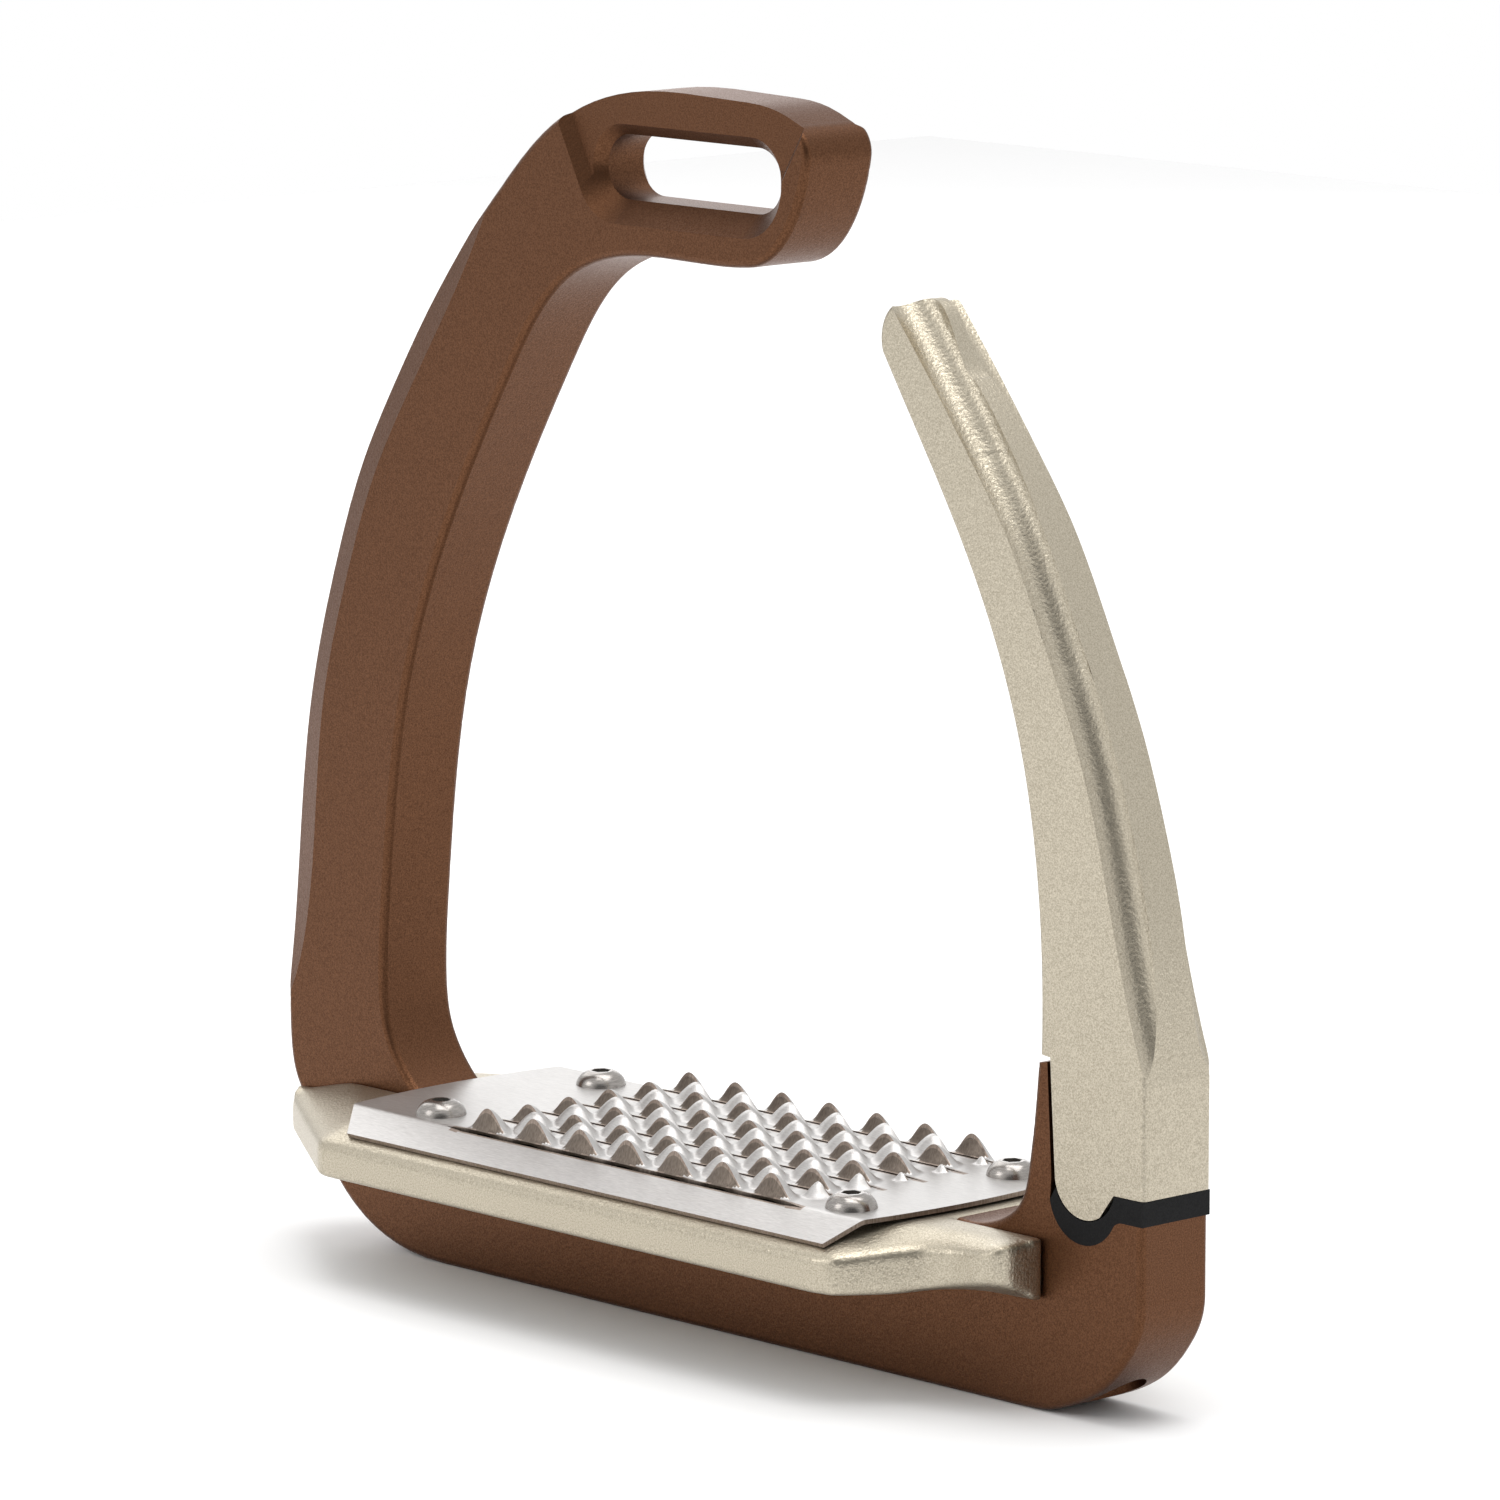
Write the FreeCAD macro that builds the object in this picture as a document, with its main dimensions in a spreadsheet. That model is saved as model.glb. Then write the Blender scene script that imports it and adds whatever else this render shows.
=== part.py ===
import FreeCAD, Part
import Sketcher
import math
import os

# Safety stirrup iron with an opening outer arm.
# Millimetres. +Z is up, +X runs from the solid branch to the release arm, +Y goes through the
# stirrup from front to back. The origin is the middle of the underside.

Vector = FreeCAD.Vector

SIZES = {
    "frame_thick": 11.8,        # frame, arm and seat pad, front to back
    "edge_round": 0.9,          # soft edge of the frame and of the arm
    "bar_recess": 1.5,          # how far the leather bar is let in from each face
    "slot_round": 4.2,          # end radius of the leather slot
    "slot_flare": 2.9,          # 45 degree flare round the slot
    "relief_deep": 1.5,         # relief along the branch's outer edges, measured in Y
    "relief_wide": 5.0,         # the same, measured in the plane of the frame
    "tread_top": 22.2,
    "tread_bottom": 14.2,
    "tread_slot": 12.0,         # gaps in the tread for the branch and the fin
    "base_top": 16.0,           # frame's base under the tread
    "shoulder_wide": 7.2,       # sloped shoulder round the tread's top
    "shoulder_deep": 3.1,
    "underlay_thick": 0.3,
    "plate_thick": 0.6,
    "plate_half_wide": 18.06,   # to the fold, on the underside
    "flange_out": 5.04,
    "flange_drop": 2.5,
    "tooth_pitch": 9.0,
    "row_pitch": 7.12,
    "tooth_high": 2.5,
    "tooth_wide": 6.4,
    "screw_span_x": 78.0,
    "screw_span_y": 28.2,
    "screw_mid_x": -1.4,
    "head_wide": 6.7,           # grip plate screws
    "head_high": 1.9,
    "shank_wide": 3.0,
    "shank_long": 6.0,
    "socket_wide": 2.3,
    "bolt_span": 60.0,          # tread bolts
    "bolt_wide": 5.0,
    "bolt_head": 9.2,
    "bolt_head_high": 3.0,
    "bolt_socket": 4.0,
    "bolt_long": 12.0,
    "insert_wide": 6.5,
    "insert_long": 9.0,
    "wire_x": 70.5,             # centre line of the knuckle and the tension wire
    "wire_wide": 1.8,
    "nose_z": 30.7,             # centre of the knuckle's round nose
    "nose_round": 5.2,
    "nose_gap": 0.15,
    "heel_z": 29.35,            # arm's flat heel
    "heel_gap": 0.1,
    "arm_bore": 6.0,
    "arm_bore_top": 64.0,
    "plug_top": 34.0,
    "cup_bottom": 58.0,
    "cup_high": 3.0,
    "spring_wire": 0.8,
    "spring_turns": 9.5,
    "anchor_bore": 7.4,
    "anchor_top": 12.5,
    "nut_flats": 5.5,
    "guide_wide": 4.0,
    "guide_hole": 2.6,
    "drill_deep": 20.0,         # deep enough to break through every wall it is used on
}

doc = FreeCAD.newDocument("StirrupIron")
sheet = doc.addObject("Spreadsheet::Sheet", "Sizes")
for row, (alias, value) in enumerate(SIZES.items(), start=1):
    sheet.set("A%d" % row, alias)
    sheet.set("B%d" % row, str(value))
    sheet.setAlias("B%d" % row, alias)
doc.recompute()


def size(alias):
    return float(sheet.get(alias))


# ---------------------------------------------------------------------------- helpers

def new_body(label):
    body = doc.addObject("PartDesign::Body", label)
    body.Label = label
    return body


def origin_plane(body, role):
    for feature in body.Origin.OriginFeatures:
        if feature.Role == role:
            return feature
    raise ValueError(role)


def new_sketch(body, name, role, offset=0.0):
    """Sketch on one of the body's own origin planes, moved along that plane's normal."""
    sketch = body.newObject("Sketcher::SketchObject", name)
    sketch.AttachmentSupport = [(origin_plane(body, role), "")]
    sketch.MapMode = "FlatFace"
    sketch.AttachmentOffset = FreeCAD.Placement(Vector(0, 0, offset), FreeCAD.Rotation())
    return sketch


def flat(point):
    return Vector(point[0], point[1], 0)


def draw_outline(sketch, start, steps):
    """Closed outline: each step is a line, an arc through a middle point or a smooth curve."""
    here = flat(start)
    for step in steps:
        kind = step[0]
        if kind == "line":
            ends = [here, flat(step[1])]
            sketch.addGeometry(Part.LineSegment(*ends), False)
        elif kind == "arc":
            ends = [here, flat(step[1]), flat(step[2])]
            sketch.addGeometry(Part.Arc(*ends), False)
        else:
            ends = [here] + [flat(point) for point in step[1]]
            curve = Part.BSplineCurve()
            if len(step) > 2:
                curve.interpolate(Points=ends, InitialTangent=flat(step[2]), FinalTangent=flat(step[3]))
            else:
                curve.interpolate(Points=ends)
            sketch.addGeometry(curve, False)
        here = ends[-1]
    if here.distanceToPoint(flat(start)) > 1e-6:
        sketch.addGeometry(Part.LineSegment(here, flat(start)), False)


def draw_polygon(sketch, corners):
    draw_outline(sketch, corners[0], [("line", corner) for corner in corners[1:]])


def draw_rectangle(sketch, low_x, low_y, high_x, high_y):
    draw_polygon(sketch, [(low_x, low_y), (high_x, low_y), (high_x, high_y), (low_x, high_y)])


def draw_circle(sketch, centre, alias, factor=1.0):
    """Circle whose diameter follows the sheet."""
    index = sketch.addGeometry(Part.Circle(flat(centre), Vector(0, 0, 1), size(alias) * factor / 2), False)
    row = sketch.addConstraint(Sketcher.Constraint("Diameter", index, size(alias) * factor))
    sketch.setExpression("Constraints[%d]" % row, "Sizes.%s * %g" % (alias, factor))


def pad(body, sketch, name, length, both_sides=False):
    """Pad whose length is a sheet expression."""
    feature = body.newObject("PartDesign::Pad", name)
    feature.Profile = sketch
    feature.setExpression("Length", length)
    feature.SideType = "Symmetric" if both_sides else "One side"
    sketch.Visibility = False
    doc.recompute()


def pocket(body, sketch, name, length, both_sides=False, reverse=False, taper=0.0):
    """Pocket whose depth is a sheet expression, checked to have really cut."""
    before = body.Shape.Volume
    feature = body.newObject("PartDesign::Pocket", name)
    feature.Profile = sketch
    feature.setExpression("Length", length)
    feature.SideType = "Symmetric" if both_sides else "One side"
    feature.Reversed = reverse
    feature.TaperAngle = taper
    sketch.Visibility = False
    doc.recompute()
    if body.Shape.Volume > before - 0.01:
        raise RuntimeError("%s cut nothing" % name)


def draw_curve(sketch, points):
    """Open smooth curve, the path of a sweep."""
    curve = Part.BSplineCurve()
    curve.interpolate(Points=[flat(point) for point in points])
    sketch.addGeometry(curve, False)


def space_curve(name, points):
    """Smooth curve in space, outside the bodies, for a sweep to follow."""
    curve = Part.BSplineCurve()
    curve.interpolate(Points=[Vector(*point) for point in points])
    path = doc.addObject("Part::Feature", name)
    path.Shape = curve.toShape()
    return path


def sweep_cut(body, name, section, path):
    """Sweep of a section along a path, taken away from the body."""
    before = body.Shape.Volume
    feature = body.newObject("PartDesign::SubtractivePipe", name)
    feature.Profile = section
    feature.Spine = (path, ["Edge1"])
    section.Visibility = False
    path.Visibility = False
    doc.recompute()
    if body.Shape.Volume > before - 0.01:
        raise RuntimeError("%s cut nothing" % name)


def edges_where(shape, test):
    return ["Edge%d" % (index + 1) for index, edge in enumerate(shape.Edges) if test(edge)]


def fillet(body, name, edge_names, radius):
    base = body.Tip
    feature = body.newObject("PartDesign::Fillet", name)
    feature.Base = (base, edge_names)
    feature.setExpression("Radius", radius)
    doc.recompute()


def turn_section(body, name, start, steps):
    """Solid of revolution about the body's vertical axis."""
    sketch = new_sketch(body, name + "_section", "XZ_Plane")
    draw_outline(sketch, start, steps)
    spin = body.newObject("PartDesign::Revolution", name + "_turned")
    spin.Profile = sketch
    spin.ReferenceAxis = (sketch, ["V_Axis"])
    spin.Angle = 360
    sketch.Visibility = False
    doc.recompute()


def in_plane(edge, axis, value):
    low = getattr(edge.BoundBox, axis.upper() + "Min")
    high = getattr(edge.BoundBox, axis.upper() + "Max")
    return abs(low - value) < 0.01 and abs(high - value) < 0.01


HALF = size("frame_thick") / 2
WIRE_X = size("wire_x")
HOLE_END_GAP = 1.5      # blind holes run on this far past what they hold

# ---------------------------------------------------------------------------- frame

BRANCH_OUTER = [(-81.0, 45.0), (-77.6, 73.0), (-71.8, 93.2), (-66.9, 105.3), (-60.1, 117.0), (-53.3, 127.2),
                (-38.0, 144.4), (-27.0, 154.0), (-14.0, 158.5), (-4.0, 159.1), (6.0, 158.8), (17.6, 156.6)]
BRANCH_INNER = [(-8.3, 137.9), (-18.0, 136.8), (-25.2, 133.7), (-30.4, 128.9), (-35.7, 121.2), (-46.2, 103.2),
                (-56.6, 77.5), (-60.9, 49.0), (-61.6, 37.0), (-60.6, 30.0), (-58.0, 25.6), (-54.6, 22.3)]
SLOT_LEFT = (-15.3, 148.8)
SLOT_RIGHT = (8.8, 148.8)
# The leather bar's recess on the face; its left side runs into the slot's flare without a step.
BAR_RECESS = [(-30.6, 163.0), (-21.61, 145.55), SLOT_LEFT, SLOT_RIGHT, (15.9, 149.2), (24.4, 163.0)]
CRADLE = (70.3, 28.2)
CRADLE_ROUND = 5.9
NOTCH_LEFT = -54.6
NOTCH_RIGHT = 47.8


def on_circle(centre, radius, degrees):
    angle = math.radians(degrees)
    return (centre[0] + radius * math.cos(angle), centre[1] + radius * math.sin(angle))


def draw_slot(sketch, radius):
    """Stadium round the leather slot's two centres."""
    draw_outline(sketch, (SLOT_LEFT[0], SLOT_LEFT[1] + radius), [
        ("arc", (SLOT_LEFT[0] - radius, SLOT_LEFT[1]), (SLOT_LEFT[0], SLOT_LEFT[1] - radius)),
        ("line", (SLOT_RIGHT[0], SLOT_RIGHT[1] - radius)),
        ("arc", (SLOT_RIGHT[0] + radius, SLOT_RIGHT[1]), (SLOT_RIGHT[0], SLOT_RIGHT[1] + radius)),
    ])


def make_frame():
    body = new_body("frame")
    outline = new_sketch(body, "frame_outline", "XZ_Plane")
    base_top = size("base_top")
    cradle_in = on_circle(CRADLE, CRADLE_ROUND, 190)
    cradle_out = on_circle(CRADLE, CRADLE_ROUND, -28)
    draw_outline(outline, (58.0, 0.0), [
        ("line", (-49.0, 0.0)),
        ("curve", [(-61.2, 1.6), (-71.3, 8.0), (-78.4, 18.5), (-81.3, 31.0)], (-20, 0), (0, 20)),
        ("curve", BRANCH_OUTER, (0, 20), (20, -9)),
        ("arc", (19.9, 154.8), (20.4, 151.8)),
        ("curve", [(17.2, 143.4), (13.6, 139.6), (9.0, 138.0)]),
        ("curve", BRANCH_INNER),
        ("line", (NOTCH_LEFT, base_top)),
        ("line", (NOTCH_RIGHT, base_top)),
        ("line", (NOTCH_RIGHT, 22.1)),
        ("curve", [(54.5, 22.9), (58.8, 25.9), (60.5, 31.5), (61.4, 38.0), (62.0, 44.0)]),
        ("line", (63.9, 44.4)),
        ("line", (64.7, 30.0)),
        ("line", cradle_in),
        ("arc", on_circle(CRADLE, CRADLE_ROUND, -90), cradle_out),
        ("arc", (76.1, 25.9), (77.0, 26.1)),
        ("line", (80.4, 26.1)),
        ("line", (80.4, 16.0)),
        ("curve", [(78.2, 9.6), (73.0, 4.2), (66.0, 0.9), (58.0, 0.0)], (0, -12), (-12, 0)),
    ])
    pad(body, outline, "frame_pad", "Sizes.frame_thick", both_sides=True)
    soft_edges = edges_where(body.Shape, soft_frame_edge)
    fillet(body, "frame_soft_edges", soft_edges, "Sizes.edge_round")

    for side in (-1, 1):
        tag = "front" if side < 0 else "back"
        cut_relief(body, side, tag)
        recess = new_sketch(body, "bar_recess_" + tag, "XZ_Plane", -side * HALF)
        draw_polygon(recess, BAR_RECESS)
        pocket(body, recess, "bar_pocket_" + tag, "Sizes.bar_recess", reverse=side > 0, taper=-45.0)
        flare = new_sketch(body, "slot_flare_" + tag, "XZ_Plane", -side * HALF)
        draw_slot(flare, size("slot_round") + size("slot_flare"))
        pocket(body, flare, "slot_flare_pocket_" + tag, "Sizes.slot_flare", reverse=side > 0, taper=-45.0)
    slot = new_sketch(body, "leather_slot", "XZ_Plane")
    draw_slot(slot, size("slot_round"))
    pocket(body, slot, "leather_slot_pocket", "Sizes.frame_thick * 2", both_sides=True)

    guide = new_sketch(body, "guide_bore", "XY_Plane", CRADLE[1])
    draw_circle(guide, (WIRE_X, 0), "guide_wide")
    pocket(body, guide, "guide_bore_pocket", "Sizes.drill_deep")
    anchor = new_sketch(body, "anchor_bore", "XY_Plane", size("anchor_top"))
    draw_circle(anchor, (WIRE_X, 0), "anchor_bore")
    pocket(body, anchor, "anchor_bore_pocket", "Sizes.drill_deep")
    inserts = new_sketch(body, "insert_holes", "XY_Plane", size("base_top"))
    for place in bolt_places(0):
        draw_circle(inserts, place, "insert_wide")
    pocket(body, inserts, "insert_hole_pocket", "Sizes.insert_long + %g" % HOLE_END_GAP)
    return body


RELIEF_RUN_IN = [(-86.0, 32.0), (-82.9, 38.0)]      # the relief comes in over the edge here
RELIEF_TOP = 6          # from this point of the branch's outer curve on, it runs out over the edge again
RELIEF_RUN_OUT = (-43.2, 144.6)


def cut_relief(body, side, tag):
    """Shallow bevel along the branch's outer edge, between the foot and the eye."""
    start = RELIEF_RUN_IN[0]
    path = new_sketch(body, "relief_path_" + tag, "XZ_Plane", -side * HALF)
    draw_curve(path, RELIEF_RUN_IN + BRANCH_OUTER[:RELIEF_TOP] + [RELIEF_RUN_OUT])
    section = new_sketch(body, "relief_section_" + tag, "XY_Plane", start[1])
    wide = size("relief_wide")
    deep = size("relief_deep")
    over = 1.5
    slope = deep / wide
    outer_x = start[0] - over
    inner_x = start[0] + wide + over
    draw_outline(section, (outer_x, side * (HALF - deep - over * slope)), [
        ("line", (inner_x, side * (HALF + over * slope))),
        ("line", (inner_x, side * (HALF + over))),
        ("line", (outer_x, side * (HALF + over)))])
    sweep_cut(body, "relief_" + tag, section, path)


def soft_frame_edge(edge):
    """Long edges of the two faces, away from the joints with the tread and the seat pad."""
    if not (in_plane(edge, "y", -HALF) or in_plane(edge, "y", HALF)):
        return False
    box = edge.BoundBox
    in_notch = box.XMin > NOTCH_LEFT - 0.1 and box.XMax < NOTCH_RIGHT + 0.1
    under_tread = in_notch and box.ZMin > 10 and box.ZMax < 23
    at_seat = box.XMin > 60 and box.ZMin > 20
    return not under_tread and not at_seat


# ---------------------------------------------------------------------------- release arm

ARM_OUTER = [(80.2, 50.0), (77.8, 65.3), (75.2, 74.6), (71.5, 85.2), (66.0, 97.0),
             (58.4, 111.2), (46.2, 126.9)]
# Centre line of the front flute. Its y gets smaller towards the tip, where the strip
# between the two flutes narrows.
FLUTE_PATH = [(85.0, 6.4, 42.0), (81.9, 6.38, 50.0), (79.5, 6.35, 58.0), (77.6, 6.3, 65.3),
              (75.1, 6.25, 74.6), (71.5, 6.2, 85.2), (66.1, 6.1, 96.8), (58.6, 5.8, 111.0),
              (52.6, 5.4, 119.3), (46.6, 4.9, 126.9), (38.6, 4.3, 136.4), (34.2, 4.0, 141.4)]
FLUTE_ROUND = 3.4       # radius
ARM_INNER = [(40.0, 120.3), (49.7, 104.4), (57.6, 86.0), (61.6, 66.7), (62.5, 45.2)]


def make_release_arm():
    body = new_body("release_arm")
    outline = new_sketch(body, "arm_outline", "XZ_Plane")
    nose = (WIRE_X, size("nose_z"))
    radius = size("nose_round")
    heel_z = size("heel_z")
    heel_angle = math.degrees(math.asin((heel_z - nose[1]) / radius))
    draw_outline(outline, (80.7, heel_z), [
        ("line", (80.7, 43.4)),
        ("curve", ARM_OUTER),
        ("curve", [(41.6, 133.2), (38.6, 136.2), (35.4, 135.4), (33.8, 132.6), (34.0, 129.6)]),
        ("curve", ARM_INNER),
        ("line", (64.4, 45.0)),
        ("line", (nose[0] - radius, nose[1])),
        ("arc", on_circle(nose, radius, 225), on_circle(nose, radius, -60)),
        ("line", on_circle(nose, radius, heel_angle)),
    ])
    pad(body, outline, "arm_pad", "Sizes.frame_thick", both_sides=True)
    for side in (-1, 1):
        tag = "front" if side < 0 else "back"
        path = space_curve("flute_path_" + tag, [(x, side * y, z) for x, y, z in FLUTE_PATH])
        round_section = new_sketch(body, "flute_section_" + tag, "XY_Plane", FLUTE_PATH[0][2])
        centre = Vector(FLUTE_PATH[0][0], side * FLUTE_PATH[0][1], 0)
        round_section.addGeometry(Part.Circle(centre, Vector(0, 0, 1), FLUTE_ROUND), False)
        sweep_cut(body, "flute_" + tag, round_section, path)
    soft_edges = edges_where(body.Shape, soft_arm_edge)
    fillet(body, "arm_soft_edges", soft_edges, "Sizes.edge_round * 0.8")
    bore = new_sketch(body, "spring_bore", "XY_Plane", size("arm_bore_top"))
    draw_circle(bore, (WIRE_X, 0), "arm_bore")
    pocket(body, bore, "spring_bore_pocket", "Sizes.arm_bore_top")
    return body


def soft_arm_edge(edge):
    """Inner edges of the two faces, and the heel's outer edges."""
    box = edge.BoundBox
    on_face = in_plane(edge, "y", -HALF) or in_plane(edge, "y", HALF)
    inner = box.XMax < 63 and box.ZMin > 45.1
    return on_face and (inner or box.XMin > 80.65)


# ---------------------------------------------------------------------------- seat pad

def make_seat_pad():
    body = new_body("arm_seat_pad")
    outline = new_sketch(body, "seat_outline", "XZ_Plane")
    nose = (WIRE_X, size("nose_z"))
    upper = size("nose_round") + size("nose_gap")
    top = size("heel_z") - size("heel_gap")
    lip_angle = math.degrees(math.asin((top - nose[1]) / upper))
    cradle_in = on_circle(CRADLE, CRADLE_ROUND, 190)
    cradle_out = on_circle(CRADLE, CRADLE_ROUND, -28)
    inner_top = on_circle(nose, upper, 200)
    draw_outline(outline, cradle_in, [
        ("arc", on_circle(CRADLE, CRADLE_ROUND, -90), cradle_out),
        ("arc", (76.1, 25.9), (77.0, 26.1)),
        ("line", (80.5, 26.1)),
        ("line", (80.5, top)),
        ("line", on_circle(nose, upper, lip_angle)),
        ("arc", on_circle(nose, upper, 270), inner_top),
    ])
    pad(body, outline, "seat_pad", "Sizes.frame_thick", both_sides=True)
    hole = new_sketch(body, "seat_hole", "XY_Plane", size("heel_z"))
    draw_circle(hole, (WIRE_X, 0), "guide_hole")
    pocket(body, hole, "seat_hole_pocket", "Sizes.drill_deep")
    return body


# ---------------------------------------------------------------------------- tread

PAST_ENDS = 90.0        # beyond both ends of the tread
NOTCH_GAP = 0.1
TREAD_HALF = [(-78.5, -6.0), (-77.5, -8.6), (-52.5, -25.0), (44.5, -25.0), (49.8, -17.6), (55.0, -14.0),
              (62.0, -14.0), (63.6, -12.4), (63.6, -6.0)]
# Sloped shoulders: both ends of the edge, and how far the slope runs on past each end.
TREAD_SHOULDERS = [((-77.5, -8.6), (-52.5, -25.0), 8.0, 14.0),
                   ((-52.5, -25.0), (44.5, -25.0), 14.0, 14.0),
                   ((44.5, -25.0), (49.8, -17.6), 14.0, 0.0)]


def cut_shoulder(body, name, start, end, before, after, turn):
    """Plane cut along one top edge of the tread; turn is 1 where the tread lies left of the edge."""
    along = Vector(end[0] - start[0], end[1] - start[1], 0)
    length = along.Length
    along.normalize()
    inward = Vector(-along.y, along.x, 0) * turn
    up = along.cross(inward)
    sketch = new_sketch(body, name, "XY_Plane")
    corner = Vector(start[0], start[1], 0) - along * before
    turned_frame = FreeCAD.Rotation(inward, up, along, "ZXY")
    sketch.AttachmentOffset = FreeCAD.Placement(corner, turned_frame)
    wide = size("shoulder_wide")
    deep = size("shoulder_deep")
    top = size("tread_top")
    over = 3.0
    low = top - deep - over * deep / wide
    high = top + over
    draw_outline(sketch, (-over, up.z * low), [
        ("line", (wide + over, up.z * (top + over * deep / wide))),
        ("line", (wide + over, up.z * high)),
        ("line", (-over, up.z * high))])
    pocket(body, sketch, name + "_pocket", "%g" % (length + before + after), reverse=True)


def screw_places():
    half_x = size("screw_span_x") / 2
    half_y = size("screw_span_y") / 2
    mid = size("screw_mid_x")
    return [(mid + side_x * half_x, side_y * half_y) for side_x in (-1, 1) for side_y in (-1, 1)]


def bolt_places(height):
    return [(side * size("bolt_span") / 2, 0, height) for side in (-1, 1)]


def make_tread():
    body = new_body("tread")
    outline = new_sketch(body, "tread_outline", "XY_Plane", size("tread_bottom"))
    front = TREAD_HALF
    back = [(x, -y) for x, y in reversed(TREAD_HALF)]
    draw_polygon(outline, front + back)
    pad(body, outline, "tread_pad", "Sizes.tread_top - Sizes.tread_bottom")
    top = size("tread_top")
    for side in (-1, 1):
        for count, (start, end, before, after) in enumerate(TREAD_SHOULDERS):
            name = "shoulder_%s_%d" % ("front" if side < 0 else "back", count)
            first = (start[0], -side * start[1])
            last = (end[0], -side * end[1])
            cut_shoulder(body, name, first, last, before, after, -side)
    channel = new_sketch(body, "base_channel", "XY_Plane", size("base_top"))
    half_slot = size("tread_slot") / 2
    draw_rectangle(channel, -PAST_ENDS, -half_slot, PAST_ENDS, half_slot)
    pocket(body, channel, "base_channel_pocket", "Sizes.drill_deep")
    for name, low, high in (("branch_gap", -PAST_ENDS, NOTCH_LEFT + NOTCH_GAP),
                            ("fin_gap", NOTCH_RIGHT - NOTCH_GAP, PAST_ENDS)):
        gap = new_sketch(body, name, "XY_Plane", top)
        draw_rectangle(gap, low, -half_slot, high, half_slot)
        pocket(body, gap, name + "_pocket", "Sizes.drill_deep")
    taps = new_sketch(body, "plate_screw_holes", "XY_Plane", top)
    for place in screw_places():
        draw_circle(taps, place, "shank_wide")
    pocket(body, taps, "plate_screw_hole_pocket", "Sizes.shank_long")
    bolts = new_sketch(body, "bolt_holes", "XY_Plane", top)
    heads = new_sketch(body, "bolt_head_beds", "XY_Plane", top)
    for place in bolt_places(0):
        draw_circle(bolts, place, "bolt_wide")
        draw_circle(heads, place, "bolt_head")
    pocket(body, bolts, "bolt_hole_pocket", "Sizes.drill_deep")
    pocket(body, heads, "bolt_head_pocket", "Sizes.bolt_head_high")
    return body


UNDERLAY = (-36.0, -17.6, 33.0, 17.6)


def make_underlay():
    body = new_body("grip_underlay")
    outline = new_sketch(body, "underlay_outline", "XY_Plane", size("tread_top"))
    draw_rectangle(outline, *UNDERLAY)
    pad(body, outline, "underlay_pad", "Sizes.underlay_thick")
    return body


# ---------------------------------------------------------------------------- toothed grip plate

PLATE_LEFT = -52.7
PLATE_RIGHT = 44.0
PLATE_BOW = 1.6         # how far the ends bulge
PLATE_MITRE = 2.8       # how far the flanges' ends are cut back
TOOTH_ROWS = 6
TEETH = 7
FIRST_TOOTH_X = -27.7
FIRST_ROW_Y = -16.94
LIP_GAP = 2.0           # from one lip's teeth to the facing lip's teeth
TOOTH_TIP = 0.5         # radius
TOOTH_SQUASH = 0.55     # a tooth's depth against its width
TOOTH_FOOT = 0.2        # how far a tooth's solid reaches into the sheet
FOLD_FOOT = 1.25        # the same in the last row, which stands on the fold
SLIT_WIDE = 1.0
SLIT_PAST = 3.0         # how far a slit runs on past the first and the last tooth


def make_blank(half, low, top):
    """Bent sheet: flat between the folds at half, from low to top, with a sloping flange on both sides."""
    body = new_body("grip_plate_blank")
    section = new_sketch(body, "plate_section", "YZ_Plane", PLATE_LEFT - PLATE_BOW)
    slope = math.atan2(size("flange_drop"), size("flange_out"))
    thick = top - low
    end = (half + size("flange_out"), low - size("flange_drop"))
    right = [(half, low), end, (end[0] + thick * math.sin(slope), end[1] + thick * math.cos(slope)),
             (half + thick * math.tan(slope / 2), top)]
    draw_polygon(section, right + [(-y, z) for y, z in reversed(right)])
    pad(body, section, "plate_pad", "%g" % (PLATE_RIGHT - PLATE_LEFT + 2 * PLATE_BOW))
    return body


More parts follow.
